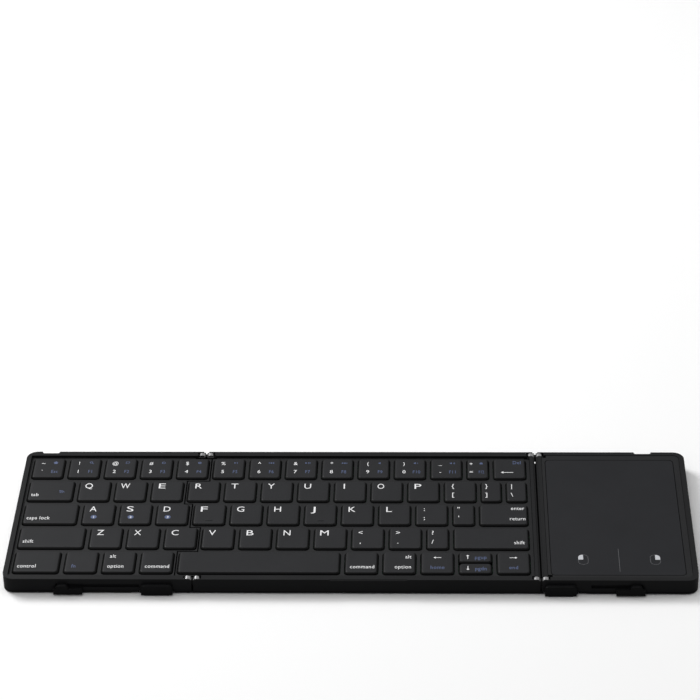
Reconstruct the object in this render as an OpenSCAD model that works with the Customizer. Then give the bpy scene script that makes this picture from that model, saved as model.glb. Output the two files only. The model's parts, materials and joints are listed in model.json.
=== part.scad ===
// Three-panel folding keyboard: a middle key panel, a left key wing and a right
// touchpad wing, each wing on a double-axis hinge, with a fabric cover whose wing
// plates slide along the wings as they fold.
// Frame: X along the length, Y from front to back, Z up, origin under the centre.

/* [Overall] */
// Length with both wings open
body_w = 304.5; // [298:0.5:312]
// Depth of the panels from front to back
body_d = 98; // [97:0.5:100]
// Height of the panel rims above the table
body_h = 7.5; // [7.3:0.1:8]
// Width of the left key wing
left_w = 83.5; // [83:0.1:84]
// Width of the right touchpad wing
right_w = 68.6; // [66:0.1:70]
// Corner radius of the panels seen from above
corner_r = 5; // [3:0.5:7]

/* [Cover] */
// Thickness of the fabric skin
fabric_t = 0.4; // [0.3:0.05:0.5]
// Thickness of the cover plates under the fabric
plate_t = 0.8; // [0.6:0.1:1]
// Length of each spine between its two folds
spine_l = 14.2; // [13.6:0.1:14.6]
// Reach of the base cover plate past the left seam
left_reach = 8.5; // [8:0.1:8.6]
// Reach of the base cover plate past the right seam
right_reach = 1.4; // [1:0.1:2]
// How far the clips and spine ends stand out of the front and back faces
clip_proud = 1.9; // [1.5:0.1:2.2]
// Height of the clips and spine ends
clip_h = 5.1; // [4.5:0.1:5.5]

/* [Keys] */
// Pitch of the keys along a row
key_u = 16.7; // [16:0.1:17]
// Pitch of the rows
row_u = 18; // [17:0.1:18]
// Gap between the caps of neighbouring keys
key_gap = 2.1; // [1.8:0.1:2.4]
// Travel of a key
key_travel = 1.2; // [0.8:0.1:1.3]
// Corner radius of a key cap
key_r = 1.7; // [1:0.1:2]

/* [Hinges] */
// Distance between the two axes of a hinge
axis_gap = 4; // [3.8:0.1:4.4]
// Radius of the hinge barrels
barrel_r = 1.7; // [1.5:0.05:1.8]
// Radius of the hinge pins
pin_r = 0.7; // [0.6:0.05:0.8]
// Running clearance of the pins in the barrels
pin_play = 0.05; // [0.03:0.01:0.08]

/* [Touchpad] */
// Width of the touch surface
pad_w = 58.5; // [56:0.5:60]
// Depth of the touch surface
pad_d = 87.5; // [84:0.5:90]

/* [Hidden] */
$fn = 32;

eps = 0.01;
half_w = body_w / 2;
half_d = body_d / 2;
seam_l = left_w - half_w;
seam_r = half_w - right_w;
plate_top = fabric_t + plate_t;
slide_play = 0.15;
seam_half = 0.4;            // half of the gap between two panels
wall_back = 1.1;            // base walls stand back this far from a stepped seam
deck_back = 0.3;            // and decks this far
ledge = 1.3;                // ledge that carries a deck
wall = 1.6;                 // wall of a panel housing
floor_t = 0.8;              // floor of a panel housing
rim_z = body_h;
deck_top = rim_z - 1.2;     // the key caps stand above the deck, level with the rim
deck_t = 1.2;
deck_z = deck_top - deck_t;
frame_top = rim_z - 0.2;    // top of the touchpad's frame
frame_t = 1.4;
frame_z = frame_top - frame_t;
deck_play = 0.15;           // gap between deck and rim
roll_z = rim_z - 0.6;       // above this the panel edges stand back to roll
roll_back = 0.75;
low_wall_z = 3.8;           // walls that run under key caps stop here
board_t = 0.9;
dome_h = 0.8;

// Hinge axes
axis_z = rim_z - 1.8;
axis_half = axis_gap / 2;
link_len = 2.1;
link_y = half_d - 0.7 - link_len;   // the links sit behind a thin wall of the rims
pin_in = 1.3;               // length of a pin past the link on the inner side
pin_out = 0.45;             // and in the thin outer wall
pocket_play = 0.25;
bore_r = pin_r + pin_play;
fold_z = plate_top / 2;     // height of the cover's fold lines
fold_gap = 0.65;            // plates stop this far from a fold line

// Key field: rows counted from the back
field_x = 2.8 - half_w;
field_y = 2.5 * row_u;
cap_z = rim_z - 2.3;
cap_top = rim_z - 0.05;
cap_lip = 0.45;             // rounding of the top edge, in three steps
cap_bevel = 0.5;
hole_play = 0.3;
// Key widths in each row, in key pitches, and where the left wing's keys end
rows = [
    [1, 1, 1, 1, 1, 1, 1, 1, 1, 1, 1, 1, 0.73, 1.02],
    [1.375, 1, 1, 1, 1, 1, 1, 1, 1, 1, 1, 1, 0.6875, 0.6875],
    [1.6, 1, 1, 1, 1, 1, 1, 1, 1, 1, 1, 0.72, 1.43],
    [1.9, 1, 1, 1, 1, 1, 1, 1, 1, 1, 0.72, 2.13],
    [1.35, 1, 1, 1, 4.4, 1, 1, 1, 1, 1]
];
left_count = [5, 4, 4, 4, 4];
// The seam steps to the side from row to row; the rims at both ends stay straight
seam_step = [2.75, -7.5, -3.8, 0.95, -8];

// Touchpad wing
pad_x = seam_r + 4.6;
pad_y = -half_d + 4.2;
pad_t = 1.2;
pad_play = 0.3;

function sum(v, n, i = 0) = i >= n ? 0 : v[i] + sum(v, n, i + 1);
function key_x(row, i) = field_x + key_u * sum(rows[row], i);
function row_y(row) = field_y - (row + 1) * row_u;

// ---------- plan shapes ----------

module round_rect(w, d, r) {
    translate([r, 0]) square([w - 2 * r, d]);
    translate([0, r]) square([w, d - 2 * r]);
    for (x = [r, w - r], y = [r, d - r]) translate([x, y]) circle(r);
}

// A panel plan from x0 to x1 with rounded corners on the sides that are named
module panel_plan(x0, x1, inset = 0, round_low = false, round_high = false) {
    r = max(corner_r - inset, 0.5);
    y0 = -half_d + inset;
    d = body_d - 2 * inset;
    lo = round_low ? r : 0;
    hi = round_high ? r : 0;
    translate([x0 + lo, y0]) square([x1 - x0 - lo - hi, d]);
    translate([x0, y0 + r]) square([x1 - x0, d - 2 * r]);
    if (round_low) for (y = [y0 + r, y0 + d - r]) translate([x0 + r, y]) circle(r);
    if (round_high) for (y = [y0 + r, y0 + d - r]) translate([x1 - r, y]) circle(r);
}

// Bands across the depth: the back rim, five key rows, the front rim
band_step = concat([0], seam_step, [0]);
function band_top(i) = i == 0 ? half_d : field_y - (i - 1) * row_u;
function band_low(i) = i == 6 ? -half_d : field_y - i * row_u;

// The strip on the wing's side of the stepped seam, out to the seam itself
module wing_side(back, limit = 99) {
    x0 = seam_l - 20;
    for (i = [0:6]) {
        x1 = seam_l + min(band_step[i], limit) - back;
        cut_low = i < 6 ? back : 0;
        cut_top = i > 0 ? back : 0;
        translate([x0, band_low(i) + cut_low])
            square([x1 - x0, band_top(i) - band_low(i) - cut_low - cut_top]);
        if (i < 6) {
            x2 = seam_l + min(band_step[i], band_step[i + 1], limit) - back;
            translate([x0, band_low(i) - back - eps])
                square([x2 - x0, 2 * back + 2 * eps]);
        }
    }
}

// The same strip on the base's side; its key rows can stand back further
module base_side(back, row_back) {
    x1 = seam_l + 20;
    for (i = [0:6]) {
        rim = i == 0 || i == 6;
        x0 = seam_l + band_step[i] + (rim ? back : row_back);
        cut_low = i < 6 ? back : 0;
        cut_top = i > 0 ? back : 0;
        translate([x0, band_low(i) + cut_low])
            square([x1 - x0, band_top(i) - band_low(i) - cut_low - cut_top]);
        if (i < 6) {
            x2 = seam_l + max(band_step[i], band_step[i + 1]) + row_back;
            translate([x2, band_low(i) - back - eps])
                square([x1 - x2, 2 * back + 2 * eps]);
        }
    }
}

module left_plan(inset = 0, back = seam_half, limit = 99) {
    panel_plan(inset - half_w, seam_l - 19, inset, round_low = true);
    intersection() {
        wing_side(back + inset, limit);
        translate([-half_w, -half_d + inset]) square([body_w, body_d - 2 * inset]);
    }
}

module base_plan(inset = 0, back = seam_half, row_back = wall_back) {
    translate([seam_l + 19, -half_d + inset])
        square([seam_r - back - inset - seam_l - 19, body_d - 2 * inset]);
    intersection() {
        base_side(back + inset, row_back + inset);
        translate([-half_w, -half_d + inset]) square([body_w, body_d - 2 * inset]);
    }
}

module right_plan(inset = 0, back = seam_half) {
    panel_plan(seam_r + back + inset, half_w - inset, inset, round_high = true);
}

// ---------- keys ----------

module cap_plan(w, d, r, grow = 0) {
    translate([-grow, -grow]) round_rect(w + 2 * grow, d + 2 * grow, r + grow);
}

// One key cap in its cell, with a stepped lip round its top
module key_cap(w, d) {
    cw = w - key_gap;
    cd = d - key_gap;
    translate([key_gap / 2, key_gap / 2, 0]) {
        difference() {
            translate([0, 0, cap_z])
                linear_extrude(cap_top - cap_lip - cap_z) cap_plan(cw, cd, key_r);
            translate([0, 0, cap_z - eps])
                linear_extrude(1) cap_plan(cw, cd, key_r, -0.9);
        }
        for (i = [0:2]) translate([0, 0, cap_top - cap_lip + i * cap_lip / 3 - eps])
            linear_extrude(cap_lip / 3 + eps)
                cap_plan(cw, cd, key_r, -cap_bevel * [0.2, 0.5, 1][i]);
    }
}

module row_keys(row, from, to) {
    for (i = [from:to])
        translate([key_x(row, i), row_y(row), 0]) key_cap(rows[row][i] * key_u, row_u);
}

// The page keys share one cell, one above the other
page_i = 8;
page_split = 0.5;
module page_key(upper) {
    w = rows[4][page_i] * key_u;
    d = (row_u - key_gap - page_split) / 2;
    translate([key_x(4, page_i), row_y(4) + (upper ? d + page_split : 0), 0])
        key_cap(w, d + key_gap);
}

// First and last key of a row on the left wing or on the base
function first_key(row, on_left) = on_left ? 0 : left_count[row];
function last_key(row, on_left) = on_left ? left_count[row] - 1 : len(rows[row]) - 1;

// Holes for the caps
module key_holes(on_left) {
    for (row = [0:4], i = [first_key(row, on_left):last_key(row, on_left)])
        translate([key_x(row, i) + key_gap / 2, row_y(row) + key_gap / 2])
            cap_plan(rows[row][i] * key_u - key_gap, row_u - key_gap, key_r, hole_play);
}

// Rubber domes, one under each key
module domes(on_left, z) {
    for (row = [0:4], i = [first_key(row, on_left):last_key(row, on_left)])
        translate([key_x(row, i) + rows[row][i] * key_u / 2, row_y(row) + row_u / 2, z])
            cylinder(h = dome_h, r = 2.2);
}

// ---------- hinges ----------

// Runs its children at the front and at the back end of a hinge
module both_ends() {
    children();
    mirror([0, 1, 0]) children();
}

// Room for one hinge link in a panel's edge; side is the way out of the panel
module link_pocket(seam, side) {
    ax = seam - side * axis_half;
    room = barrel_r + pocket_play;
    long = link_len + 2 * pocket_play;
    both_ends() {
        translate([ax, link_y - pocket_play, axis_z]) rotate([-90, 0, 0])
            cylinder(h = long, r = room);
        translate([side > 0 ? ax : ax - 2 * room, link_y - pocket_play, axis_z - room])
            cube([2 * room, long, 3 * room]);
        translate([ax - room, link_y - pocket_play, axis_z])
            cube([2 * room, long, 2 * room]);
    }
}

// Two chrome barrels joined by a web, at both ends of the seam
module hinge_links(seam) {
    both_ends() difference() {
        translate([seam, link_y, axis_z]) union() {
            for (s = [-1, 1]) translate([s * axis_half, 0, 0]) rotate([-90, 0, 0])
                cylinder(h = link_len, r = barrel_r);
            translate([-axis_half, 0, -barrel_r]) cube([axis_gap, link_len, barrel_r + 0.9]);
        }
        for (s = [-1, 1]) translate([seam + s * axis_half, link_y - eps, axis_z])
            rotate([-90, 0, 0]) cylinder(h = link_len + 2 * eps, r = bore_r);
    }
}

// Pins on one axis, pressed into the panel on both sides of the links
module hinge_pins(x) {
    both_ends() translate([x, link_y - pin_in, axis_z]) rotate([-90, 0, 0])
        cylinder(h = pin_in + link_len + pin_out, r = pin_r);
}

// The block in each rim that the pins of one axis are pressed into
boss_w = 3;
boss_up = 1.2;
module pin_boss(x) {
    both_ends() translate([x - boss_w / 2, link_y - pin_in, low_wall_z - eps])
        cube([boss_w, pin_in - pocket_play, axis_z + boss_up - low_wall_z]);
}

// ---------- base ----------

base_axis_l = seam_l + axis_half;
base_axis_r = seam_r - axis_half;

// Layers of a key panel's housing: the low tray, the ledge that carries the deck,
// the rim beside the deck, and the rim's top, which stands back at the seams.
// Children: the plan, the ledge plan, the rim plan and the plan of the top.
module tray_and_rim(z0) {
    translate([0, 0, z0]) linear_extrude(low_wall_z - z0) children(0);
    translate([0, 0, low_wall_z - eps]) linear_extrude(deck_z - low_wall_z + eps)
        intersection() { children(0); children(1); }
    translate([0, 0, deck_z - eps]) linear_extrude(roll_z - deck_z + eps)
        intersection() { children(0); children(2); }
    translate([0, 0, roll_z - eps]) linear_extrude(rim_z - roll_z + eps)
        intersection() { children(3); children(2); }
}

module base_housing() color([0.09, 0.09, 0.10]) difference() {
    union() {
        tray_and_rim(plate_top) {
            base_plan();
            base_frame_plan(ledge);
            base_frame_plan(0);
            base_plan(0, seam_half + roll_back, wall_back + roll_back);
        }
        pin_boss(base_axis_l);
        pin_boss(base_axis_r);
    }
    translate([0, 0, plate_top + floor_t])
        linear_extrude(low_wall_z - plate_top - floor_t) base_plan(wall);
    link_pocket(seam_l, -1);
    link_pocket(seam_r, 1);
    hinge_pins(base_axis_l);
    hinge_pins(base_axis_r);
    thumb_notch();
}

// Front and back rims and the wall beside the right seam
rim_y = field_y + 0.8;
side_rim = 2.2;
module base_frame_plan(grow) {
    for (s = [-1, 1]) translate([-half_w, s > 0 ? rim_y - grow : -half_d])
        square([body_w, half_d - rim_y + grow]);
    translate([seam_r - seam_half - side_rim - grow / 2, -half_d])
        square([side_rim + grow / 2 + 1, body_d]);
}

// Shallow scoop in the front rim where a thumb lifts the wings
module thumb_notch() {
    translate([seam_l + 60, -half_d - 0.6, rim_z + 0.6]) rotate([0, 90, 0])
        cylinder(h = 34, r = 1.2);
}

module base_deck() color([0.12, 0.12, 0.13]) translate([0, 0, deck_z])
    linear_extrude(deck_t) difference() {
        intersection() {
            base_plan(0, deck_back, deck_back);
            translate([-half_w, -rim_y + deck_play])
                square([seam_r + half_w - seam_half - side_rim - deck_play,
                        2 * (rim_y - deck_play)]);
        }
        key_holes(false);
        deck_relief(base_axis_l);
        deck_relief(base_axis_r);
    }

// Edge of a deck cut away round the pins' blocks
module deck_relief(x) {
    both_ends() translate([x - boss_w, link_y - pin_in - deck_play]) square([2 * boss_w, 4]);
}

// Circuit board with its rubber domes, lying on a housing's floor
module switch_board(z, on_left) color([0.16, 0.30, 0.20]) {
    translate([0, 0, z]) linear_extrude(board_t) children();
    domes(on_left, z + board_t - eps);
}

module base_switch_board() switch_board(plate_top + floor_t, false)
    base_plan(wall + 0.2);

module base_cover_plate() color([0.07, 0.07, 0.07]) translate([0, 0, fabric_t])
    linear_extrude(plate_t) base_cover_plan();

module base_cover_plan() {
    x0 = seam_l - left_reach + fold_gap;
    x1 = seam_r + right_reach - fold_gap;
    translate([x0, -half_d]) square([x1 - x0, body_d]);
}

module base_fabric() color([0.23, 0.23, 0.25]) linear_extrude(fabric_t) base_cover_plan();

module base_hinge_pins() color([0.75, 0.76, 0.78]) {
    hinge_pins(base_axis_l);
    hinge_pins(base_axis_r);
}

module keys_colour() color([0.13, 0.13, 0.14]) children();

module space_bar() keys_colour() row_keys(4, 4, 4);
module base_keys_row1() keys_colour() row_keys(0, 5, 12);
module base_keys_row2() keys_colour() row_keys(1, 4, 13);
module base_keys_row3() keys_colour() row_keys(2, 4, 11);
module base_keys_row4() keys_colour() row_keys(3, 4, 10);
module base_keys_row5() keys_colour() {
    row_keys(4, 5, 7);
    row_keys(4, 9, 9);
}
module delete_key() keys_colour() row_keys(0, 13, 13);
module enter_key() keys_colour() row_keys(2, 12, 12);
module right_shift_key() keys_colour() row_keys(3, 11, 11);
module page_up_key() keys_colour() page_key(true);
module page_down_key() keys_colour() page_key(false);

// ---------- left wing ----------

left_axis = seam_l - axis_half;
wing_z = plate_top + slide_play;
switch_x = -half_w + 7;
switch_w = 8;
slot_z = 3.1;
slot_h = 1.9;
slot_deep = 1.1;
left_travel = 2 * left_reach + spine_l;
right_travel = 2 * right_reach + spine_l;
left_clip_x = -half_w + 22.5;
right_clip_x = half_w - 36;
clip_w = 12.7;
clip_low = 3.1;             // height of a clip beside its hook
clip_gap = 0.15;            // gap between a clip and the wing's face
hook_w = 5.4;
hook_r = 1.4;
hook_in = 1.2;              // from the clip's outer end to its hook

// Guide slot along a wing's front and back faces
module guide_slot(x0, x1) {
    both_ends() translate([x0, half_d - slot_deep, slot_z]) cube([x1 - x0, 2, slot_h]);
}

module left_housing() color([0.09, 0.09, 0.10]) difference() {
    union() {
        tray_and_rim(wing_z) {
            left_plan(0, seam_half, 0);
            left_frame_plan(ledge);
            left_frame_plan(0);
            left_plan(0, seam_half + roll_back, 0);
        }
        pin_boss(left_axis);
    }
    translate([0, 0, wing_z + floor_t])
        linear_extrude(low_wall_z - wing_z - floor_t) left_plan(wall, seam_half, 0);
    link_pocket(seam_l, 1);
    hinge_pins(left_axis);
    guide_slot(left_clip_x + hook_in - 0.3, left_clip_x + hook_in + hook_w + left_travel);
    translate([switch_x - 0.2, half_d - wall - 3, 3.2]) cube([switch_w + 0.4, 6, 2.4]);
    rim_scoop(switch_x + switch_w / 2, switch_w);
}

// Shallow scoop in the back rim, over the switch and over the charging socket
scoop_deep = 1.6;
module rim_scoop(x, w) {
    translate([x - w / 2, half_d - scoop_deep, rim_z - 0.9])
        linear_extrude(2) round_rect(w, 4, 1.5);
}

module left_frame_plan(grow) {
    for (s = [-1, 1]) translate([-half_w, s > 0 ? rim_y - grow : -half_d])
        square([body_w, half_d - rim_y + grow]);
    translate([-half_w, -half_d]) square([side_rim + grow * 0.7, body_d]);
}

module left_deck() color([0.12, 0.12, 0.13]) translate([0, 0, deck_z])
    linear_extrude(deck_t) difference() {
        intersection() {
            left_plan(0, deck_back);
            translate([-half_w + side_rim + deck_play, -rim_y + deck_play])
                square([body_w, 2 * (rim_y - deck_play)]);
        }
        key_holes(true);
        deck_relief(left_axis);
    }

module left_switch_board() switch_board(wing_z + floor_t, true)
    left_plan(wall + 0.2, seam_half, 0);

module left_hinge_pins() color([0.75, 0.76, 0.78]) hinge_pins(left_axis);

module left_keys_row1() keys_colour() row_keys(0, 0, 4);
module left_keys_row2() keys_colour() row_keys(1, 1, 3);
module left_keys_row3() keys_colour() row_keys(2, 1, 3);
module left_keys_row4() keys_colour() row_keys(3, 1, 3);
module left_keys_row5() keys_colour() row_keys(4, 1, 3);
module tab_key() keys_colour() row_keys(1, 0, 0);
module caps_key() keys_colour() row_keys(2, 0, 0);
module left_shift_key() keys_colour() row_keys(3, 0, 0);
module control_key() keys_colour() row_keys(4, 0, 0);

// Slide switch in the back wall, with a ribbed thumb piece
module power_switch() color([0.2, 0.2, 0.21]) {
    translate([switch_x + 2.2, half_d - wall - 0.8, 3.5]) cube([3.6, wall + 1.4, 1.8]);
    for (i = [0:2]) translate([switch_x + 2.8 + i * 0.9, half_d + 0.5, 3.7])
        cube([0.4, 0.35, 1.4]);
}

// ---------- covers and spines ----------

// A clip on a sliding cover: a low ear outside the face, and a round-topped hook
// whose tongue runs in the wing's slot
module cover_clip(x0, hook_x) {
    both_ends() {
        translate([x0, half_d + clip_gap, fabric_t])
            cube([clip_w, clip_proud - clip_gap, clip_low - fabric_t]);
        translate([x0, half_d - clip_gap, fabric_t])
            cube([clip_w, 2 * clip_gap + eps, plate_t]);
        translate([hook_x, half_d + clip_gap, 0]) rotate([90, 0, 0]) mirror([0, 0, 1])
            linear_extrude(clip_proud - clip_gap) {
                translate([0, clip_low - 1]) square([hook_w, clip_h - hook_r + 1 - clip_low]);
                translate([hook_r, clip_low - 1]) square([hook_w - 2 * hook_r, clip_h + 1 - clip_low]);
                for (x = [hook_r, hook_w - hook_r]) translate([x, clip_h - hook_r])
                    circle(hook_r);
            }
        translate([hook_x + 0.5, half_d - slot_deep + 0.25, slot_z + 0.2])
            cube([hook_w - 1, slot_deep, slot_h - 0.4]);
    }
}

module left_cover_plan() {
    x1 = seam_l - left_reach - spine_l - fold_gap;
    panel_plan(-half_w, x1, 0, round_low = true);
}

module left_cover_plate() color([0.07, 0.07, 0.07]) {
    translate([0, 0, fabric_t]) linear_extrude(plate_t) left_cover_plan();
    cover_clip(left_clip_x, left_clip_x + hook_in);
}

module left_cover_fabric() color([0.23, 0.23, 0.25])
    linear_extrude(fabric_t) left_cover_plan();

module right_cover_plan() {
    x0 = seam_r + right_reach + spine_l + fold_gap;
    panel_plan(x0, half_w, 0, round_high = true);
}

module right_cover_plate() color([0.07, 0.07, 0.07]) {
    translate([0, 0, fabric_t]) linear_extrude(plate_t) right_cover_plan();
    cover_clip(right_clip_x, right_clip_x + clip_w - hook_in - hook_w);
}

module right_cover_fabric() color([0.23, 0.23, 0.25])
    linear_extrude(fabric_t) right_cover_plan();

// A spine: a stiff strip with a rounded block past each end of the panels
module spine(x0) {
    x1 = x0 + spine_l;
    translate([x0 + fold_gap, -half_d, fabric_t])
        cube([spine_l - 2 * fold_gap, body_d, plate_t]);
    both_ends() {
        translate([x0 + fold_gap, half_d - eps, fabric_t])
            cube([spine_l - 2 * fold_gap, 0.2, plate_t]);
        translate([x0 + 0.2, half_d + 0.15, 0]) rotate([90, 0, 0]) mirror([0, 0, 1])
            linear_extrude(clip_proud - 0.15) union() {
                translate([0, 0.2]) square([spine_l - 0.4, clip_h - 1.7]);
                translate([1.5, 0]) square([spine_l - 3.4, clip_h]);
                for (x = [1.5, spine_l - 1.9]) translate([x, clip_h - 1.5]) circle(1.5);
            }
    }
}

module spine_fabric(x0) {
    translate([x0 + fold_gap, -half_d, 0]) cube([spine_l - 2 * fold_gap, body_d, fabric_t]);
}

module left_spine() color([0.10, 0.10, 0.11]) spine(seam_l - left_reach - spine_l);
module left_spine_fabric() color([0.23, 0.23, 0.25])
    spine_fabric(seam_l - left_reach - spine_l);
module right_spine() color([0.10, 0.10, 0.11]) spine(seam_r + right_reach);
module right_spine_fabric() color([0.23, 0.23, 0.25]) spine_fabric(seam_r + right_reach);

module left_hinge_links() color([0.8, 0.81, 0.83]) hinge_links(seam_l);
module right_hinge_links() color([0.8, 0.81, 0.83]) hinge_links(seam_r);

// ---------- right wing ----------

right_axis = seam_r + axis_half;
right_wall = 2.4;
port_x = half_w - 19;
port_w = 8.9;
port_h = 3.2;
port_z = 2.6;
port_deep = 7;
pad_z = frame_top - pad_t;
pad_drop = 0.6;             // room under the touch surface for its click

module right_housing() color([0.09, 0.09, 0.10]) difference() {
    union() {
        difference() {
            union() {
                translate([0, 0, wing_z]) linear_extrude(roll_z - wing_z + eps) right_plan();
                translate([0, 0, roll_z]) linear_extrude(rim_z - roll_z)
                    right_plan(0, seam_half + roll_back);
            }
            translate([0, 0, wing_z + floor_t]) linear_extrude(body_h)
                right_plan(right_wall);
        }
        pin_boss(right_axis);
        // Ledge that the frame rests on
        translate([0, 0, frame_z - 1.2]) linear_extrude(1.2) difference() {
            right_plan(right_wall - eps);
            right_plan(right_wall + 0.8);
        }
    }
    link_pocket(seam_r, -1);
    hinge_pins(right_axis);
    guide_slot(right_clip_x + clip_w - hook_in - hook_w - right_travel,
               right_clip_x + clip_w - hook_in + 0.3);
    translate([port_x - port_w / 2, half_d - 4, port_z]) cube([port_w, 6, port_h]);
    rim_scoop(port_x, port_w - 1);
}

// Frame round the touch surface, with a shelf below it and two pivot blocks
shelf_out = 0.8;            // reach of the shelf past the touch surface
shelf_in = 3;
shelf_t = 0.8;
module right_deck() color([0.12, 0.12, 0.13]) {
    shelf_top = pad_z - pad_drop;
    translate([0, 0, frame_z]) linear_extrude(frame_t) difference() {
        right_plan(right_wall + deck_play);
        translate([pad_x - pad_play, pad_y - pad_play])
            round_rect(pad_w + 2 * pad_play, pad_d + 2 * pad_play, 2);
        deck_relief(right_axis);
    }
    translate([pad_x, pad_y, shelf_top - shelf_t]) linear_extrude(shelf_t) difference() {
        translate([-shelf_out, -shelf_out])
            square([pad_w + 2 * shelf_out, pad_d + 2 * shelf_out]);
        translate([shelf_in, shelf_in]) square([pad_w - 2 * shelf_in, pad_d - 2 * shelf_in]);
        translate([port_x - pad_x - 6, pad_d - 5]) square([12, 9]);
    }
    for (x = [-shelf_out, pad_w + pad_play])
        translate([pad_x + x, pad_y + 4, shelf_top - eps])
            cube([shelf_out - pad_play, pad_d - 12, frame_z - shelf_top + 2 * eps]);
    for (x = [8, pad_w - 26]) translate([pad_x + x, pad_y + pad_d - 2, shelf_top - eps])
        cube([4, 1.6, pad_drop + eps]);
}

module touchpad() color([0.15, 0.15, 0.16]) translate([pad_x, pad_y, pad_z])
    linear_extrude(pad_t) round_rect(pad_w, pad_d, 1.8);

module controller_board() color([0.16, 0.30, 0.20])
    translate([pad_x + 3, 18, wing_z + floor_t]) {
        cube([pad_w - 8, 23, board_t]);
        translate([9, 8, board_t - eps]) cube([8, 8, 0.9]);
        translate([25, 10, board_t - eps]) cube([5, 5, 0.8]);
    }

module battery() color([0.35, 0.36, 0.38]) translate([pad_x + 8, -34, wing_z + floor_t])
    linear_extrude(2.2) round_rect(42, 48, 1);

// Oval metal shell of the charging socket, open to the back
module charging_port() color([0.7, 0.71, 0.73]) {
    translate([port_x, half_d - 0.3, port_z + port_h / 2]) rotate([90, 0, 0])
        linear_extrude(port_deep) difference() {
            translate([-port_w / 2, -port_h / 2]) round_rect(port_w, port_h, 1.55);
            translate([0.3 - port_w / 2, 0.3 - port_h / 2])
                round_rect(port_w - 0.6, port_h - 0.6, 1.25);
        }
    translate([port_x - 3.2, half_d - port_deep, port_z + port_h / 2 - 0.35])
        cube([6.4, 5, 0.7]);
    translate([port_x - 4, half_d - 0.3 - port_deep, port_z]) cube([8, 0.8, port_h]);
}

module right_hinge_pins() color([0.75, 0.76, 0.78]) hinge_pins(right_axis);

// ---------- nodes ----------

base_housing();
base_deck();
base_switch_board();
base_cover_plate();
base_fabric();
base_hinge_pins();
space_bar();
base_keys_row1();
base_keys_row2();
base_keys_row3();
base_keys_row4();
base_keys_row5();
delete_key();
enter_key();
right_shift_key();
page_up_key();
page_down_key();
left_hinge_links();
left_housing();
left_deck();
left_switch_board();
left_hinge_pins();
left_keys_row1();
left_keys_row2();
left_keys_row3();
left_keys_row4();
left_keys_row5();
tab_key();
caps_key();
left_shift_key();
control_key();
power_switch();
left_cover_plate();
left_cover_fabric();
left_spine();
left_spine_fabric();
right_hinge_links();
right_housing();
right_deck();
touchpad();
controller_board();
battery();
charging_port();
right_hinge_pins();
right_cover_plate();
right_cover_fabric();
right_spine();
right_spine_fabric();
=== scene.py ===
"""Folding keyboard with a touchpad wing: finishes, printed legends, moulded key caps and
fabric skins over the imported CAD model. Lengths are in millimetres unless said, and MM makes
them metres. Scales of noise are per metre, and depths of bump are in metres."""
import bpy, bmesh, json, math
from mathutils import Matrix, Vector


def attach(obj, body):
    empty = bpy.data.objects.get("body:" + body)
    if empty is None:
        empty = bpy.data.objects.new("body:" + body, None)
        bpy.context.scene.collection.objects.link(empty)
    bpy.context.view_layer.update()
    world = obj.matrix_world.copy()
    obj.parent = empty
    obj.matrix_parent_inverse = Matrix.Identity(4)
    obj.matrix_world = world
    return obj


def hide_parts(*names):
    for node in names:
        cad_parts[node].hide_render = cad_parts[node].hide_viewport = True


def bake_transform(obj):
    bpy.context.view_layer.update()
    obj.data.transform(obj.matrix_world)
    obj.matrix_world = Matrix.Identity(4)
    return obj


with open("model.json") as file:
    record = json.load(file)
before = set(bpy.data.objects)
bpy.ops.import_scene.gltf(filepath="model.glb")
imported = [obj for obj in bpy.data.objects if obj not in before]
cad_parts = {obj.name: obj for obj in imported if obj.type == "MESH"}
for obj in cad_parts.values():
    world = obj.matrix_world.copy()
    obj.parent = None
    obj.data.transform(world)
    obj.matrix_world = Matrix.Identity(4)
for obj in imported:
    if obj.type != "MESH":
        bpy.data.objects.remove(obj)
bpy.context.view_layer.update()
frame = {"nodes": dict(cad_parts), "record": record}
MM = 0.001

# ---------- sizes shared with the CAD source ----------
HALF_W, HALF_D = 152.25, 49.0
SEAM_L, SEAM_R = -68.75, 83.65
KEY_U, ROW_U, KEY_GAP, KEY_R = 16.7, 18.0, 2.1, 1.7
FIELD_X, FIELD_Y = 2.8 - HALF_W, 45.0
CAP_LOW, CAP_TOP = 5.2, 7.45
PAGE_SPLIT = 0.5
# Widths of each row's keys in key pitches, the back row first
ROWS = [[1] * 12 + [0.73, 1.02],
        [1.375] + [1] * 11 + [0.6875] * 2,
        [1.6] + [1] * 10 + [0.72, 1.43],
        [1.9] + [1] * 9 + [0.72, 2.13],
        [1.35, 1, 1, 1, 4.4, 1, 1, 1, 1, 1]]
LEFT_REACH, RIGHT_REACH, SPINE_L, FOLD_GAP = 8.5, 1.4, 14.2, 0.65
PAD_X, PAD_Y, PAD_TOP = SEAM_R + 4.6, -HALF_D + 4.2, 7.3


def cap_box(row, i):
    """Left, front, width and depth of one key cap."""
    x = FIELD_X + KEY_U * sum(ROWS[row][:i]) + KEY_GAP / 2
    y = FIELD_Y - (row + 1) * ROW_U + KEY_GAP / 2
    return x, y, ROWS[row][i] * KEY_U - KEY_GAP, ROW_U - KEY_GAP


def page_box(upper):
    """The same for one of the two page keys, which share a place in the front row."""
    x, y, w, d = cap_box(4, 8)
    half = (d - PAGE_SPLIT) / 2
    return x, y + (half + PAGE_SPLIT if upper else 0), w, half


def box_of(key):
    return page_box(key == "page_up") if isinstance(key, str) else cap_box(*key)


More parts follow.
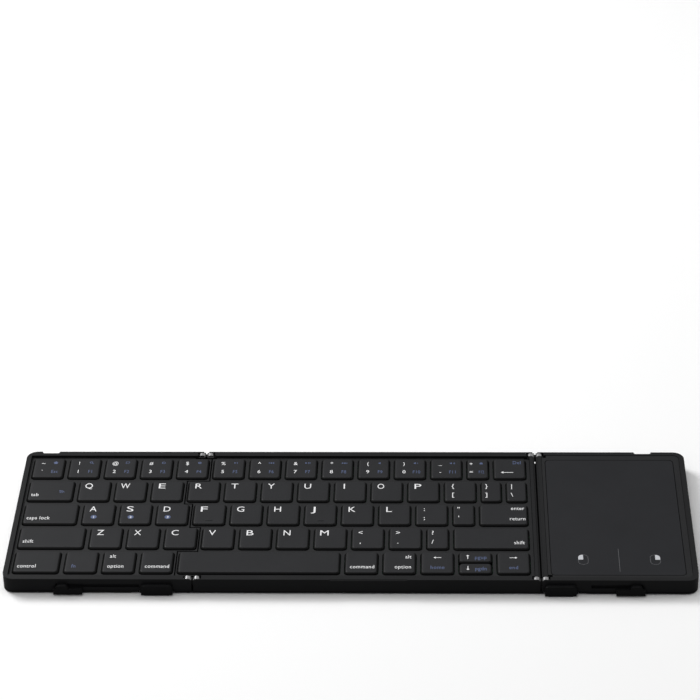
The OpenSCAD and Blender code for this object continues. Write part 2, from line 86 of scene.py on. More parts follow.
# Keys of each CAD node as (row, index), in the CAD's own grouping
KEYS = {
    "space_bar": [(4, 4)], "delete_key": [(0, 13)], "enter_key": [(2, 12)],
    "right_shift_key": [(3, 11)], "tab_key": [(1, 0)], "caps_key": [(2, 0)],
    "left_shift_key": [(3, 0)], "control_key": [(4, 0)],
    "base_keys_row1": [(0, i) for i in range(5, 13)],
    "base_keys_row2": [(1, i) for i in range(4, 14)],
    "base_keys_row3": [(2, i) for i in range(4, 12)],
    "base_keys_row4": [(3, i) for i in range(4, 11)],
    "base_keys_row5": [(4, 5), (4, 6), (4, 7), (4, 9)],
    "left_keys_row1": [(0, i) for i in range(5)],
    "left_keys_row2": [(1, i) for i in range(1, 4)],
    "left_keys_row3": [(2, i) for i in range(1, 4)],
    "left_keys_row4": [(3, i) for i in range(1, 4)],
    "left_keys_row5": [(4, i) for i in range(1, 4)],
    "page_up_key": ["page_up"], "page_down_key": ["page_down"],
}


# ---------- shader helpers ----------
class Value:
    """A node socket that can be used in Python arithmetic."""

    def __init__(self, nodes, socket):
        self.nodes, self.socket = nodes, socket

    def _math(self, operation, a, b=0.0):
        return self.nodes.node("ShaderNodeMath", {"operation": operation}, {0: a, 1: b})

    def __add__(self, other): return self._math("ADD", self, other)
    __radd__ = __add__
    def __mul__(self, other): return self._math("MULTIPLY", self, other)
    __rmul__ = __mul__
    def __sub__(self, other): return self._math("SUBTRACT", self, other)
    def __rsub__(self, other): return self._math("SUBTRACT", other, self)
    def __abs__(self): return self._math("ABSOLUTE", self)
    def sine(self): return self._math("SINE", self)
    def over(self, limit): return self._math("GREATER_THAN", self, limit)

    def clip(self):
        return self.nodes.node("ShaderNodeClamp", {}, {"Value": self})

    def rise(self, low, high):
        """Goes from 0 to 1 while a length goes from low to high."""
        return ((self - low * MM) * (1 / ((high - low) * MM))).clip()


class Nodes:
    """A node tree, with the one method that adds to it."""

    def __init__(self, tree):
        self.tree = tree

    def link(self, source, target):
        if isinstance(source, Value):
            self.tree.links.new(source.socket, target)
        else:
            target.default_value = source

    def node(self, kind, settings, sockets, out=0):
        """Adds a node with its settings, and its sockets' values or links."""
        made = self.tree.nodes.new(kind)
        for name, value in settings.items():
            setattr(made, name, value)
        for name, value in sockets.items():
            self.link(value, made.inputs[name])
        return Value(self, made.outputs[out])


class Paint(Nodes):
    """One material with its node tree."""

    def __init__(self, name):
        self.material = bpy.data.materials.new(name)
        self.material.use_nodes = True
        super().__init__(self.material.node_tree)
        self.shader = self.tree.nodes["Principled BSDF"]
        self.place = self.node("ShaderNodeTexCoord", {}, {}, "Object")

    def noise(self, scale, detail=3.0, rough=0.5, place=None):
        return self.node("ShaderNodeTexNoise", {}, {
            "Vector": place or self.place, "Scale": scale, "Detail": detail,
            "Roughness": rough})

    def axis(self, name):
        return self.node("ShaderNodeSeparateXYZ", {}, {0: self.place}, "XYZ".index(name))

    def scaled(self, x, y):
        """The place with its axes scaled: a pattern on it is drawn out where this is small."""
        return self.node("ShaderNodeMapping", {}, {"Vector": self.place, "Scale": (x, y, 1.0)})

    def mix(self, factor, low, high):
        low, high = (tone if isinstance(tone, Value) else (*tone, 1.0) for tone in (low, high))
        return self.node("ShaderNodeMix", {"data_type": "RGBA"}, {0: factor, 6: low, 7: high}, 2)

    def bump(self, height, distance, strength):
        return self.node("ShaderNodeBump", {}, {
            "Height": height, "Distance": distance, "Strength": strength})

    def set(self, **values):
        for name, value in values.items():
            self.link(value, self.shader.inputs[name.replace("_", " ")])
        return self.material


MOTTLE = 1.3                  # how many times lighter or darker the plastic's mottling is
# Near black of the painted shade down the sides of the key caps, for the shade between keys
SKIRT_SHADE_TONE = (0.0022, 0.0022, 0.0024)
# Distances from a seam between which the plating comes up from the near black of painted shade in
# the seam's groove
SEAM_SHADE_SPAN, SEAM_SHADE_TONE = (0.35, 0.85), (0.02, 0.02, 0.02)
THREAD_PITCH = 0.62
THREAD_DRAW, BRUSH_DRAW = 0.03, 0.02           # scales along threads and brushed lines
TRACK_TURNS = 1570.0          # one wave of the copper tracks in 4 mm, in radians per metre
INK_ROUGHNESS = 0.55


def moulded(name, colour, rough, grain=2600.0, depth=0.00002, sheen=0.16, skirt_shade=None):
    """Moulded plastic: fine spark-eroded grain, faint mottling and handling polish. A skirt shade
    is the pair of heights between which the colour comes up from near black: painted shade down
    the sides of key caps, for the shade between keys."""
    p = Paint(name)
    mottle = p.noise(42.0, 4.0, 0.6)
    polish = p.noise(16.0, 3.0, 0.55)
    fine = p.noise(grain, 2.0, 0.6)
    tone = p.mix(mottle * 0.7 + fine * 0.3, tuple(c / MOTTLE for c in colour),
                 tuple(c * MOTTLE for c in colour))
    if skirt_shade:
        # Painted shade: the colour is near black below the lower height, for the shade between
        # keys
        tone = p.mix(p.axis("Z").rise(*skirt_shade), SKIRT_SHADE_TONE, tone)
    return p.set(Base_Color=tone,
                 Roughness=(polish - 0.5) * 0.22 + (fine - 0.5) * 0.08 + rough,
                 Specular_IOR_Level=sheen, Normal=p.bump(fine, depth, 0.6))


def woven(name):
    """Charcoal melange cloth: plain weave of light and dark threads with fuzz."""
    p = Paint(name)
    x, y = p.axis("X"), p.axis("Y")
    drift = p.noise(260.0, 2.0) * 1.1
    turns = 2 * math.pi / (THREAD_PITCH * MM)
    warp = (x * turns + drift).sine()
    weft = (y * turns + drift).sine()
    over = (warp * weft).over(0.0)
    streak = (p.noise(1700.0, 3.0, 0.7, p.scaled(1.0, THREAD_DRAW)) * (1 - over)
              + p.noise(1700.0, 3.0, 0.7, p.scaled(THREAD_DRAW, 1.0)) * over)
    fuzz = p.noise(5200.0, 2.0, 0.7)
    tone = p.mix(((streak - 0.42) * 3.4 + (fuzz - 0.5) * 0.5).clip(),
                 (0.020, 0.021, 0.024), (0.165, 0.168, 0.178))
    relief = abs(warp) * over + abs(weft) * (1 - over) + fuzz * 0.5
    return p.set(Base_Color=tone, Roughness=fuzz * 0.12 + 0.82, Sheen_Weight=0.25,
                 Specular_IOR_Level=0.25, Normal=p.bump(relief, 0.00012, 0.8))


def plated(name, colour, rough):
    """Polished plating, with painted shade darkening it in the groove along each seam."""
    p = Paint(name)
    marks = p.noise(300.0, 2.0, 0.6)
    off_centre = abs(p.axis("X") - (SEAM_L + SEAM_R) / 2 * MM)
    off_seam = abs(off_centre - (SEAM_R - SEAM_L) / 2 * MM)
    bright = p.mix(marks, tuple(c * 0.9 for c in colour), colour)
    # Painted shade: near black within the first distance of a seam, full colour past the second
    return p.set(Base_Color=p.mix(off_seam.rise(*SEAM_SHADE_SPAN), SEAM_SHADE_TONE, bright), Metallic=1.0,
                 Roughness=(marks - 0.5) * 0.08 + rough, Normal=p.bump(marks, 0.000004, 0.4))


def brushed(name, colour, rough):
    """Brushed steel with its lines along Y."""
    p = Paint(name)
    marks = p.noise(6000.0, 2.0, 0.6, p.scaled(1.0, BRUSH_DRAW))
    return p.set(Base_Color=p.mix(marks, tuple(c * 0.9 for c in colour), colour), Metallic=1.0,
                 Roughness=(marks - 0.5) * 0.3 + rough, Normal=p.bump(marks, 0.000008, 0.4))


def circuit(name):
    """Green solder mask with copper tracks showing through."""
    p = Paint(name)
    across = (p.axis("X") * TRACK_TURNS + p.noise(90.0) * 5.0).sine()
    tracks = (across * (p.axis("Y") * TRACK_TURNS).sine()).over(0.72)
    return p.set(Base_Color=p.mix(tracks, (0.012, 0.075, 0.032), (0.05, 0.16, 0.07)),
                 Roughness=p.noise(400.0) * 0.15 + 0.32, Normal=p.bump(tracks, 0.00004, 0.7))


def printed(name, colour):
    """Screen-printed ink with a slightly uneven film."""
    p = Paint(name)
    film = p.noise(3000.0, 2.0)
    return p.set(Base_Color=p.mix(film, tuple(c * 0.9 for c in colour), colour),
                 Roughness=(film - 0.5) * 0.1 + INK_ROUGHNESS,
                 Normal=p.bump(film, 0.000005, 0.5))


def pouch_foil(name):
    """Silver pouch foil of the battery, faintly crinkled."""
    p = Paint(name)
    crease = p.noise(120.0, 5.0, 0.65)
    return p.set(Base_Color=p.mix(crease, (0.30, 0.31, 0.33), (0.46, 0.47, 0.49)),
                 Metallic=0.9, Roughness=crease * 0.25 + 0.3,
                 Normal=p.bump(crease, 0.0002, 0.5))


LOOKS = {
    "shell": moulded("shell_plastic", (0.0110, 0.0112, 0.0120), 0.38, 2200.0, 0.000015,
                     sheen=0.20),
    "deck": moulded("deck_plastic", (0.0160, 0.0163, 0.0173), 0.54),
    # Key caps: sides painted near black below the top 0.3 mm, as shade between the keys
    "keycap": moulded("keycap_plastic", (0.0185, 0.0189, 0.0206), 0.50, 3000.0, 0.000018,
                      skirt_shade=(CAP_TOP - 0.3, CAP_TOP - 0.11)),
    "pad": moulded("touch_surface", (0.0166, 0.0171, 0.0193), 0.48, 3800.0, 0.00001),
    "plate": moulded("cover_plastic", (0.0075, 0.0077, 0.0083), 0.42, 2000.0, sheen=0.15),
    "switch": moulded("switch_plastic", (0.020, 0.020, 0.022), 0.45),
    "fabric": woven("melange_fabric"),
    "chrome": plated("chrome_plating", (0.93, 0.93, 0.94), 0.24),
    "steel": brushed("brushed_steel", (0.34, 0.34, 0.35), 0.42),
    "board": circuit("circuit_board"),
    "battery": pouch_foil("battery_foil"),
}
WHITE_INK = printed("white_ink", (0.86, 0.86, 0.87))
BLUE_INK = printed("blue_ink", (0.080, 0.110, 0.220))
PALE_INK = printed("pale_ink", (0.56, 0.57, 0.60))
FAINT_INK = printed("faint_ink", (0.13, 0.133, 0.142))

slot_of = {part["node"]: part["material_slot"] for part in frame["record"]["subparts"]}
for node_name, node_object in frame["nodes"].items():
    node_object.data.materials.clear()
    node_object.data.materials.append(LOOKS[slot_of[node_name]])


# ---------- mesh helpers ----------
def piece(name, mesh, material, body, smooth=True):
    """A finished piece that rides on a body."""
    made = bpy.data.objects.new(name, mesh)
    bpy.context.scene.collection.objects.link(made)
    mesh.materials.append(material)
    for face in mesh.polygons:
        face.use_smooth = smooth
    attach(made, body)
    return made


LEAST_RADIUS = 0.15


def rounded_ring(x, y, w, d, r, inset, z, arc=8):
    """Points of a rounded rectangle, counter-clockwise, in metres."""
    r = max(r - inset, LEAST_RADIUS)
    x, y, w, d = x + inset, y + inset, w - 2 * inset, d - 2 * inset
    points = []
    for cx, cy, start in ((x + w - r, y + r, -90), (x + w - r, y + d - r, 0),
                          (x + r, y + d - r, 90), (x + r, y + r, 180)):
        for k in range(arc + 1):
            a = math.radians(start + 90 * k / arc)
            points.append(Vector((cx + r * math.cos(a), cy + r * math.sin(a), z)) * MM)
    return points


def add_stack(mesh, rings):
    """Closes a stack of equal rings, lowest first, with flat ends."""
    loops = [[mesh.verts.new(point) for point in ring] for ring in rings]
    count = len(loops[0])
    for low, high in zip(loops, loops[1:]):
        for k in range(count):
            mesh.faces.new((low[k], low[(k + 1) % count], high[(k + 1) % count], high[k]))
    mesh.faces.new(list(reversed(loops[0])))
    mesh.faces.new(loops[-1])


def to_mesh(name, build):
    """A mesh from a function that fills a bmesh."""
    made = bmesh.new()
    build(made)
    mesh = bpy.data.meshes.new(name)
    made.to_mesh(mesh)
    made.free()
    return mesh


# ---------- key caps ----------
CAP_R = KEY_R + 0.1
# Profile of a cap as (inset, height below the top): straight skirt, wide rounded shoulder and
# a nearly flat face. Insets that leave less than LEAST_FACE to the middle are left out.
SHOULDER = [(0.0, CAP_TOP - CAP_LOW), (0.0, 1.1), (0.12, 0.8), (0.34, 0.5), (0.58, 0.27),
            (0.78, 0.14), (0.94, 0.09), (1.05, 0.078), (2.6, 0.082), (3.4, 0.084)]
LEAST_FACE = 0.3


def add_cap(mesh, x, y, w, d):
    deepest = min(w, d) / 2 - LEAST_FACE
    add_stack(mesh, [rounded_ring(x, y, w, d, CAP_R, inset, CAP_TOP - drop)
                     for inset, drop in SHOULDER if inset < deepest])


for cap_node, keys in KEYS.items():
    caps = piece(cap_node + "_caps",
                 to_mesh(cap_node, lambda m: [add_cap(m, *box_of(k)) for k in keys]),
                 LOOKS["keycap"], cap_node + "_body")
    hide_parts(cap_node)

# ---------- legends ----------
INK_Z, FILM_T = CAP_TOP - 0.085, 0.016
# Styles of type: height, thickening of its strokes, and width as a share of the typeface's
WORD = (3.5, 0.015, 0.74)
SHIFTED_SIGN, PLAIN_DIGIT, SIGN = (3.5, 0.02, 0.85), (3.5, 0.02, 0.9), (4.2, 0.02, 0.9)
FUNCTION_NAME, NARROW_NAME = (3.325, 0.0, 0.7), (3.325, 0.0, 0.5)
LETTER, DISC_DIGIT = (5.605, 0.0, 1.0), (2.1, 0.02, 1.0)
WORD_SPACING = 1.08
# Letters have their own widths, and most have LETTER_W
LETTER_W = 3.1
LETTER_SPAN = {"W": 4.1, "M": 3.8, "Q": 3.5, "G": 3.3, "J": 2.1, "L": 2.5, "I": 0.6}

SHIFTED = "~!@#$%^&*()_+"
PLAIN = "`1234567890-="
FUNCTION = ["Esc"] + ["F%d" % n for n in range(1, 13)]
LETTERS = {1: "QWERTYUIOP", 2: "ASDFGHJKL", 3: "ZXCVBNM"}     # each from its row's second key
PAIRS = {(1, 11): "{[", (1, 12): "}]", (1, 13): "|\\", (2, 10): ":;", (2, 11): "\"'",
         (3, 8): "<,", (3, 9): ">.", (3, 10): "?/"}
# Words: text, its place across and up the cap as shares of the cap's size, and its alignment
WORDS = {(1, 0): [("tab", 0.08, 0.22, "L")], (2, 0): [("caps lock", 0.07, 0.22, "L")],
         (3, 0): [("shift", 0.07, 0.24, "L")], (4, 0): [("control", 0.09, 0.22, "L")],
         (4, 2): [("alt", 0.20, 0.68, "L"), ("option", 0.16, 0.22, "L")],
         (4, 3): [("command", 0.90, 0.22, "R")], (4, 5): [("command", 0.90, 0.22, "R")],
         (4, 6): [("alt", 0.86, 0.68, "R"), ("option", 0.86, 0.22, "R")],
         (2, 12): [("enter", 0.93, 0.72, "R"), ("return", 0.95, 0.22, "R")],
         (3, 11): [("shift", 0.94, 0.22, "R")]}
BLUE_WORDS = {(4, 1): [("fn", 0.22, 0.22, "L")], (4, 7): [("home", 0.5, 0.20, "C")],
              (4, 9): [("end", 0.5, 0.20, "C")], (0, 13): [("Del", 0.86, 0.72, "R")],
              "page_up": [("pgup", 0.66, 0.30, "C")],
              "page_down": [("pgdn", 0.66, 0.30, "C")]}
ALIGN = {"L": "LEFT", "C": "CENTER", "R": "RIGHT"}
# Arrows: length, angle in degrees, length of the head, and place across and up the cap
ARROWS = {"page_up": (3.0, 90, 0.9, 0.27, 0.5), "page_down": (3.0, -90, 0.9, 0.27, 0.5),
          (0, 13): (5.6, 180, 1.1, 0.42, 0.30), (4, 7): (3.4, 180, 0.9, 0.5, 0.72),
          (4, 9): (3.4, 0, 0.9, 0.5, 0.72)}
ARROW_SHAFT, ARROW_SPREAD = 0.17, 0.8
# Places across and up a cap, as shares of its size
NARROW_CAP = 12
COLUMNS, NARROW_COLUMNS = (0.31, 0.70), (0.20, 0.66)
SHIFTED_UP, PLAIN_UP, PICTURE_UP = 0.66, 0.25, 0.76
LETTER_AT, DISC_AT, WAVES_AT = (0.31, 0.61), (0.36, 0.34), (0.70, 0.36)
SIGN_ACROSS, SIGNS_UP = 0.27, (0.66, 0.24)


def type_mesh(text, height, bold, align):
    """A mesh of one text, with its foot at the origin."""
    curve = bpy.data.curves.new("type", "FONT")
    curve.body, curve.size, curve.align_x = text, height * MM, align
    curve.offset, curve.extrude, curve.resolution_u = bold * MM, FILM_T / 2 * MM, 3
    curve.space_character = WORD_SPACING if len(text) > 1 else 1.0
    holder = bpy.data.objects.new("type", curve)
    bpy.context.scene.collection.objects.link(holder)
    bpy.context.view_layer.update()
    mesh = bpy.data.meshes.new_from_object(
        holder.evaluated_get(bpy.context.evaluated_depsgraph_get()))
    bpy.data.objects.remove(holder)
    bpy.data.curves.remove(curve)
    return mesh


def print_text(mesh, text, x, y, style, align="C", z=INK_Z, span=None):
    """Prints a text, sunk in the face so that its film is thin. A span is its full width, in
    place of its style's share."""
    height, bold, wide = style
    part = type_mesh(text, height, bold, ALIGN[align])
    if span:
        across = [v.co.x for v in part.vertices]
        wide = span * MM / (max(across) - min(across))
    part.transform(Matrix.Translation(Vector((x, y, z)) * MM)
                   @ Matrix.Diagonal((wide, 1, 1, 1)))
    mesh.from_mesh(part)
    bpy.data.meshes.remove(part)


def add_plate(mesh, outline, x, y, z=INK_Z):
    """Prints a thin shape from its outline."""
    add_stack(mesh, [[Vector((x + px, y + py, level)) * MM for px, py in outline]
                     for level in (z, z + FILM_T)])


def sector(r0, r1, start, end, steps=20):
    """Outline of a ring's sector, counter-clockwise."""
    turn = [math.radians(start + (end - start) * k / steps) for k in range(steps + 1)]
    outer = [(r1 * math.cos(a), r1 * math.sin(a)) for a in turn]
    inner = [(r0 * math.cos(a), r0 * math.sin(a)) for a in reversed(turn)]
    return outer + (inner if r0 > 0 else [(0.0, 0.0)])


def bar(x0, y0, x1, y1):
    return [(x0, y0), (x1, y0), (x1, y1), (x0, y1)]


def arrow(length, angle, head):
    """An arrow centred on the origin that points along an angle in degrees."""
    half, spread = length / 2, head * ARROW_SPREAD
    shape = [(-half, -ARROW_SHAFT), (half - head, -ARROW_SHAFT), (half - head, -spread),
             (half, 0), (half - head, spread), (half - head, ARROW_SHAFT),
             (-half, ARROW_SHAFT)]
    c, s = math.cos(math.radians(angle)), math.sin(math.radians(angle))
    return [(c * px - s * py, s * px + c * py) for px, py in shape]


FORWARD = [(-0.5, -0.6), (0.5, 0.0), (-0.5, 0.6)]
BACKWARD = [(0.5, -0.6), (0.5, 0.6), (-0.5, 0.0)]
SPEAKER = [(-0.8, -0.35), (-0.35, -0.35), (0.15, -0.75), (0.15, 0.75), (-0.35, 0.35),
           (-0.8, 0.35)]
DISC = sector(0, 1.35, 0, 359, 28)[:-1]
DIGIT_DROP, DIGIT_LIFT = 0.72, 0.012           # of the digit on a disc
WAVES = [sector(r, r + 0.32, 20, 100, 10) for r in (0.5, 1.25, 2.0)]
# Blue pictures on the back row, from the left: lists of outlines with their offsets
PICTURES = [
    # home, search, window, turn and target
    [([(-1.2, 0.0), (0.0, 0.0), (1.2, 0.0), (0.0, 1.1)], 0, 0),
     (bar(-0.75, -0.95, 0.75, 0.0), 0, 0)],
    [(sector(0.45, 0.75, 0, 359), -0.25, 0.25),
     ([(0.15, -0.35), (0.35, -0.15), (0.95, -0.85), (0.75, -1.05)], 0, 0)],
    [(bar(-0.9, -0.7, 0.6, -0.5), 0, 0), (bar(-0.9, 0.6, 0.9, 0.85), 0, 0),
     (bar(-0.9, -0.5, -0.7, 0.6), 0, 0), (bar(0.7, -0.2, 0.9, 0.6), 0, 0)],
    [(sector(0.55, 0.85, 60, 390), 0, 0)],
    [(sector(0.5, 0.8, 0, 359), 0, 0), (sector(0, 0.3, 0, 359), 0, 0)],
    # send, back, play or pause, and forward
    [(FORWARD, -0.2, 0), (sector(0.75, 0.95, -50, 50), 0, 0)],
    [(bar(-1.4, -0.6, -1.15, 0.6), 0, 0), (BACKWARD, -0.55, 0), (BACKWARD, 0.55, 0)],
    [(FORWARD, -0.75, 0), (bar(0.1, -0.6, 0.4, 0.6), 0, 0), (bar(0.75, -0.6, 1.05, 0.6), 0, 0)],
    [(FORWARD, -0.55, 0), (FORWARD, 0.55, 0), (bar(1.15, -0.6, 1.4, 0.6), 0, 0)],
    # sound off, down and up, and lock
    [(SPEAKER, 0, 0)],
    [(SPEAKER, -0.4, 0), (sector(0.45, 0.65, -50, 50), 0, 0)],
    [(SPEAKER, -0.5, 0), (sector(0.4, 0.6, -50, 50), 0, 0), (sector(0.85, 1.05, -50, 50), 0, 0)],
    [(bar(-0.7, -0.8, 0.7, 0.15), 0, 0), (sector(0.35, 0.6, 0, 180), 0, 0.15)],
]


def add_legends(white, blue, key):
    """Adds one key's legends to the meshes of white and blue ink."""
    x, y, w, d = box_of(key)

    def at(across, up):
        return x + across * w, y + up * d
    for ink, words in ((white, WORDS), (blue, BLUE_WORDS)):
        for text, across, up, align in words.get(key, []):
            print_text(ink, text, *at(across, up), WORD, align)
    if key in ARROWS:
        length, angle, head, across, up = ARROWS[key]
        add_plate(white, arrow(length, angle, head), *at(across, up))
    if isinstance(key, str):
        return
    row, i = key
    if row == 0 and i < len(PLAIN):
        narrow = w < NARROW_CAP
        left, right = NARROW_COLUMNS if narrow else COLUMNS
        print_text(white, SHIFTED[i], *at(left, SHIFTED_UP), SHIFTED_SIGN)
        print_text(white, PLAIN[i], *at(left, PLAIN_UP), PLAIN_DIGIT)
        print_text(blue, FUNCTION[i], *at(right, PLAIN_UP),
                   NARROW_NAME if narrow else FUNCTION_NAME)
        px, py = at(right, PICTURE_UP)
        for outline, dx, dy in PICTURES[i]:
            add_plate(blue, outline, px + dx, py + dy)
    if 1 <= i <= len(LETTERS.get(row, "")):
        letter = LETTERS[row][i - 1]
        print_text(white, letter, *at(*LETTER_AT), LETTER,
                   span=LETTER_SPAN.get(letter, LETTER_W))
    if key in PAIRS:
        for sign, up in zip(PAIRS[key], SIGNS_UP):
            print_text(white, sign, *at(SIGN_ACROSS, up), SIGN)
    if row == 2 and 1 <= i <= 3:               # numbered discs of A, S and D
        px, py = at(*DISC_AT)
        add_plate(blue, DISC, px, py)
        print_text(white, str(i), px, py - DIGIT_DROP, DISC_DIGIT, z=INK_Z + DIGIT_LIFT)
    if key == (1, 0):
        for wave in WAVES:
            add_plate(blue, wave, *at(*WAVES_AT))


def ink_piece(name, mesh, ink, body):
    """Makes a piece of one ink's mesh, if there is anything in it."""
    if mesh.verts:
        data = bpy.data.meshes.new(name)
        mesh.to_mesh(data)
        piece(name, data, ink, body, smooth=False)
    mesh.free()


for cap_node, keys in KEYS.items():
    white_mesh, blue_mesh = bmesh.new(), bmesh.new()
    for one_key in keys:
        add_legends(white_mesh, blue_mesh, one_key)
    ink_piece(cap_node + "_white_print", white_mesh, WHITE_INK, cap_node + "_body")
    ink_piece(cap_node + "_blue_print", blue_mesh, BLUE_INK, cap_node + "_body")

# Ridges for the forefingers: size, place up the cap, and profile as (inset, height above the top)
RIDGE_W, RIDGE_D, RIDGE_R, RIDGE_Y = 3.4, 0.7, 0.35, 2.6
RIDGE_PROFILE = ((0.0, -0.12), (0.05, 0.0), (0.2, 0.12))
RIDGE_KEYS = ((2, 4), (2, 7))


def add_finger_ridge(mesh, key):
    x, y, w, d = box_of(key)
    add_stack(mesh, [rounded_ring(x + w / 2 - RIDGE_W / 2, y + RIDGE_Y, RIDGE_W, RIDGE_D,
                                  RIDGE_R, inset, CAP_TOP + up, 4)
                     for inset, up in RIDGE_PROFILE])


piece("finger_ridges",
      to_mesh("finger_ridges", lambda m: [add_finger_ridge(m, key) for key in RIDGE_KEYS]),
      LOOKS["keycap"], "base_keys_row3_body")

# ---------- touchpad print ----------
PRINT_Z = PAD_TOP - 0.004
ICON_W, ICON_H, ICON_R = 4.3, 7.0, 2.0
# Mice: the middle of each, and which of its buttons is filled, left (-1) or right (+1)
ICONS, ICON_Y = [(PAD_X + 14.2, -1), (PAD_X + 45.8, 1)], PAD_Y + 11.2
BUTTON_LIFT = 0.002
DIVIDER, DIVIDER_X = bar(-0.08, 2.4, 0.08, 19.0), PAD_X + 29.9
DOT_SPACING, DOT_RADIUS, DOT_FILM, DOT_SEED = 0.42, 0.15, 0.024, 7
DOT_SIDES, DOT_SIZES = 10, (0.85, 1.1)


def dot_tree():
    """Geometry Nodes: a row of printed dots along the edges of a mesh."""
    made = bpy.data.node_groups.new("dotted_line", "GeometryNodeTree")
    made.interface.new_socket("Path", in_out="INPUT", socket_type="NodeSocketGeometry")
    keys = {}
    for name, kind in (("Spacing", "Float"), ("Dot Radius", "Float"), ("Film", "Float"),
                       ("Seed", "Int"), ("Ink", "Material")):
        keys[name] = made.interface.new_socket(
            name, in_out="INPUT", socket_type="NodeSocket" + kind).identifier
    made.interface.new_socket("Dots", in_out="OUTPUT", socket_type="NodeSocketGeometry")

    def add(kind, settings=(), **links):
        node = made.nodes.new(kind)
        for name, value in settings:
            setattr(node, name, value)
        for name, source in links.items():
            socket = node.inputs[name.replace("_", " ")]
            if isinstance(source, bpy.types.NodeSocket):
                made.links.new(source, socket)
            else:
                socket.default_value = source
        return node
    given = made.nodes.new("NodeGroupInput").outputs
    line = add("GeometryNodeMeshToCurve", Mesh=given["Path"])
    points = add("GeometryNodeResampleCurve", [("mode", "LENGTH")],
                 Curve=line.outputs["Curve"], Length=given["Spacing"])
    dot = add("GeometryNodeMeshCylinder", Vertices=DOT_SIDES, Radius=given["Dot Radius"],
              Depth=given["Film"])
    size = add("FunctionNodeRandomValue", [("data_type", "FLOAT")], Seed=given["Seed"])
    size.inputs[2].default_value, size.inputs[3].default_value = DOT_SIZES
    dots = add("GeometryNodeInstanceOnPoints", Points=points.outputs["Curve"],
               Instance=dot.outputs["Mesh"], Scale=size.outputs[1])
    solid = add("GeometryNodeRealizeInstances", Geometry=dots.outputs["Instances"])
    inked = add("GeometryNodeSetMaterial", Geometry=solid.outputs["Geometry"],
                Material=given["Ink"])
    made.links.new(inked.outputs["Geometry"],
                   made.nodes.new("NodeGroupOutput").inputs["Dots"])
    return made, keys


def dotted(mesh, rings):
    """Adds rows of faint dots along closed rings of points to a mesh."""
    points, edges = [], []
    for ring in rings:
        first, count = len(points), len(ring)
        points += ring
        edges += [(first + k, first + (k + 1) % count) for k in range(count)]
    path = bpy.data.meshes.new("path")
    path.from_pydata(points, edges, [])
    holder = bpy.data.objects.new("path", path)
    bpy.context.scene.collection.objects.link(holder)
    nodes = holder.modifiers.new("dots", "NODES")
    nodes.node_group, keys = dot_tree()
    for name, value in (("Spacing", DOT_SPACING * MM), ("Dot Radius", DOT_RADIUS * MM),
                        ("Film", DOT_FILM * MM), ("Seed", DOT_SEED), ("Ink", FAINT_INK)):
        nodes[keys[name]] = value
    bpy.context.view_layer.update()
    result = bpy.data.meshes.new_from_object(
        holder.evaluated_get(bpy.context.evaluated_depsgraph_get()))
    bpy.data.objects.remove(holder)
    bpy.data.meshes.remove(path)
    mesh.from_mesh(result)
    bpy.data.meshes.remove(result)


def mouse_button(side, half_w, half_h, r):
    """Outline of a mouse's left (-1) or right (+1) button, from the mouse's middle."""
    turn = [math.radians(a) for a in range(0, 91, 10)]
    arc = [(half_w - r + r * math.cos(a), half_h - r + r * math.sin(a)) for a in turn]
    shape = [(0, 0), (half_w, 0)] + arc + [(0, half_h)]
    return [(side * px, py) for px, py in (shape if side > 0 else reversed(shape))]


faint_print, pale_print = bmesh.new(), bmesh.new()
dotted(faint_print, [rounded_ring(x - ICON_W / 2, ICON_Y - ICON_H / 2, ICON_W, ICON_H, ICON_R,
                                  0, PAD_TOP, 6) for x, side in ICONS])
add_plate(faint_print, DIVIDER, DIVIDER_X, PAD_Y, PRINT_Z)
for icon_x, icon_side in ICONS:
    add_plate(pale_print, mouse_button(icon_side, ICON_W / 2, ICON_H / 2, ICON_R),
              icon_x, ICON_Y, PRINT_Z + BUTTON_LIFT)
ink_piece("touchpad_lines", faint_print, FAINT_INK, "touchpad_plate")
ink_piece("touchpad_print", pale_print, PALE_INK, "touchpad_plate")

# ---------- fabric skins ----------
FABRIC_T = 0.4
# Profile of the rolled edge as (inset, height), and radii of the corners
FABRIC_EDGE = ((0.22, 0.0), (0.07, 0.05), (0.0, 0.16), (0.0, 0.28), (0.03, FABRIC_T))
COVER_R, STRIP_R = 5.0, 0.3
FOLD_CUTS = 6                 # cuts on each side of the one in the middle of a fold


def skin(name, node, body, x0, x1, radius=STRIP_R, fold=None):
    """Fabric bonded under a cover plate, with a soft rolled edge. One with a fold is cut across
    there and stays where it is, attached to no body."""
    def build(mesh):
        add_stack(mesh, [rounded_ring(x0, -HALF_D, x1 - x0, 2 * HALF_D, radius, inset, z, 10)
                         for inset, z in FABRIC_EDGE])
        if fold is not None:
            for k in range(-FOLD_CUTS, FOLD_CUTS + 1):
                bmesh.ops.bisect_plane(
                    mesh, geom=mesh.verts[:] + mesh.edges[:] + mesh.faces[:],
                    plane_co=((fold + k * FOLD_GAP / (FOLD_CUTS + 0.5)) * MM, 0, 0),
                    plane_no=(1, 0, 0))
    made = bpy.data.objects.new(name, to_mesh(name, build))
    bpy.context.scene.collection.objects.link(made)
    made.data.materials.append(LOOKS["fabric"])
    if fold is None:
        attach(made, body)
    else:
        side = FOLD_GAP * (1 if (x0 + x1) / 2 > fold else -1)
        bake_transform(made)
    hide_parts(node)


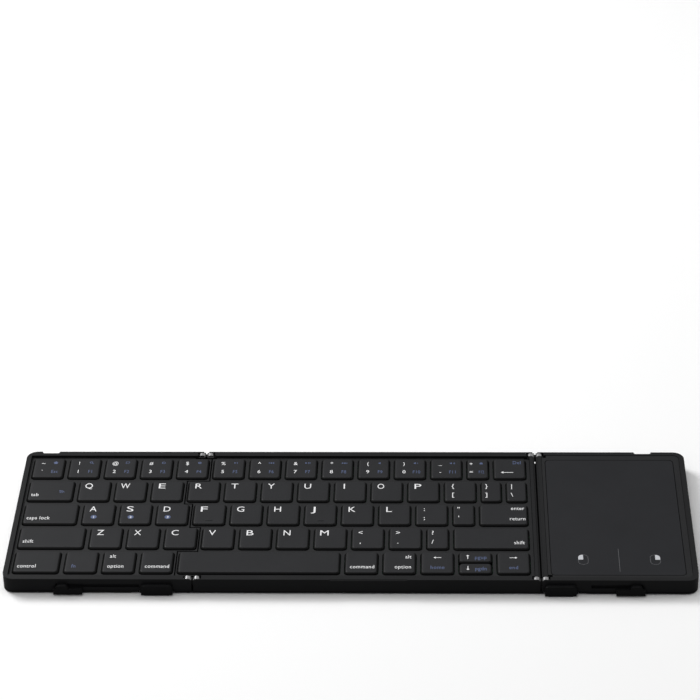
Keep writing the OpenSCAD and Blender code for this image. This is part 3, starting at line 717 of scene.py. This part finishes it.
FOLD_L, FOLD_R = SEAM_L - LEFT_REACH, SEAM_R + RIGHT_REACH
LAP = FOLD_GAP - 0.05         # the spines' fabric reaches over their outer folds
skin("base_skin", "base_fabric", "base", FOLD_L + FOLD_GAP, FOLD_R - FOLD_GAP)
skin("left_spine_skin", "left_spine_fabric", "left_spine_flap",
     FOLD_L - SPINE_L - LAP, FOLD_L + FOLD_GAP, fold=FOLD_L)
skin("right_spine_skin", "right_spine_fabric", "right_spine_flap",
     FOLD_R - FOLD_GAP, FOLD_R + SPINE_L + LAP, fold=FOLD_R)
skin("left_cover_skin", "left_cover_fabric", "left_cover", -HALF_W,
     FOLD_L - SPINE_L - FOLD_GAP, COVER_R)
skin("right_cover_skin", "right_cover_fabric", "right_cover",
     FOLD_R + SPINE_L + FOLD_GAP, HALF_W, COVER_R)

# ---------- stage, light and camera: lengths in metres ----------
FLOOR_HALF, FLOOR_Z = 6.0, -0.0003
FLOOR_SEEN, FLOOR_BOUNCE = 0.96, 0.22    # its grey in the view, and for light that bounces
WORLD_SEEN, WORLD_LIGHT = 1.0, 0.25      # the same for the strength of the world


def lay_floor(name):
    mesh = to_mesh(name, lambda m: bmesh.ops.create_grid(m, x_segments=1, y_segments=1,
                                                        size=FLOOR_HALF))
    mesh.transform(Matrix.Translation((0, 0, FLOOR_Z)))
    made = bpy.data.objects.new(name, mesh)
    bpy.context.scene.collection.objects.link(made)
    p = Paint(name + "_paint")
    seen = p.node("ShaderNodeLightPath", {}, {}, "Is Camera Ray")
    mesh.materials.append(p.set(
        Base_Color=p.mix(seen, (FLOOR_BOUNCE,) * 3, (FLOOR_SEEN,) * 3),
        Roughness=0.9, Specular_IOR_Level=0.1))


lay_floor("studio_floor")


def softbox(name, place, size, power):
    """A rectangular lamp that points at the origin, its power in watts."""
    lamp = bpy.data.lights.new(name, "AREA")
    lamp.shape, lamp.size, lamp.size_y, lamp.energy = "RECTANGLE", size[0], size[1], power
    made = bpy.data.objects.new(name, lamp)
    bpy.context.scene.collection.objects.link(made)
    made.location = place
    made.rotation_euler = (-Vector(place)).to_track_quat("-Z", "Y").to_euler()


softbox("key_light", (-0.95, 0.75, 1.05), (0.7, 0.5), 19.0)
softbox("top_light", (-0.1, 0.1, 1.4), (1.3, 0.9), 6.0)
softbox("front_light", (-0.5, -1.1, 0.9), (0.8, 0.6), 1.5)
softbox("side_light", (1.1, 0.3, 0.6), (0.6, 0.8), 2.0)

world = bpy.data.worlds.new("studio")
bpy.context.scene.world = world
world.use_nodes = True
sky, background = Nodes(world.node_tree), world.node_tree.nodes["Background"]
sky_seen = sky.node("ShaderNodeLightPath", {}, {}, "Is Camera Ray")
sky.link(sky.node("ShaderNodeMapRange", {}, {
    "Value": sky_seen, "To Min": WORLD_LIGHT, "To Max": WORLD_SEEN}),
    background.inputs["Strength"])
sky.link((1, 1, 1, 1), background.inputs["Color"])

# The photograph's camera, fitted to the corners of the three open panels: angles in radians
TURN, TILT, ROLL, DISTANCE = 0.0345, 0.5681, -0.0183, 1.40759
TARGET = Vector((-0.004512, 0.144109, 0.003))
ahead = Vector((-math.sin(TURN) * math.cos(TILT), math.cos(TURN) * math.cos(TILT),
                -math.sin(TILT)))
level_right = ahead.cross(Vector((0, 0, 1))).normalized()
level_up = level_right.cross(ahead)
right = level_right * math.cos(ROLL) + level_up * math.sin(ROLL)
up = level_up * math.cos(ROLL) - level_right * math.sin(ROLL)
lens = bpy.data.cameras.new("camera")
lens.sensor_width, lens.lens = 36.0, 146.623
lens.clip_start, lens.clip_end = 0.01, 50.0
camera = bpy.data.objects.new("camera", lens)
bpy.context.scene.collection.objects.link(camera)
pose = Matrix((right, up, -ahead)).transposed().to_4x4()
pose.translation = TARGET - ahead * DISTANCE
camera.matrix_world = pose
bpy.context.scene.camera = camera
bpy.context.scene.view_settings.view_transform = "Standard"
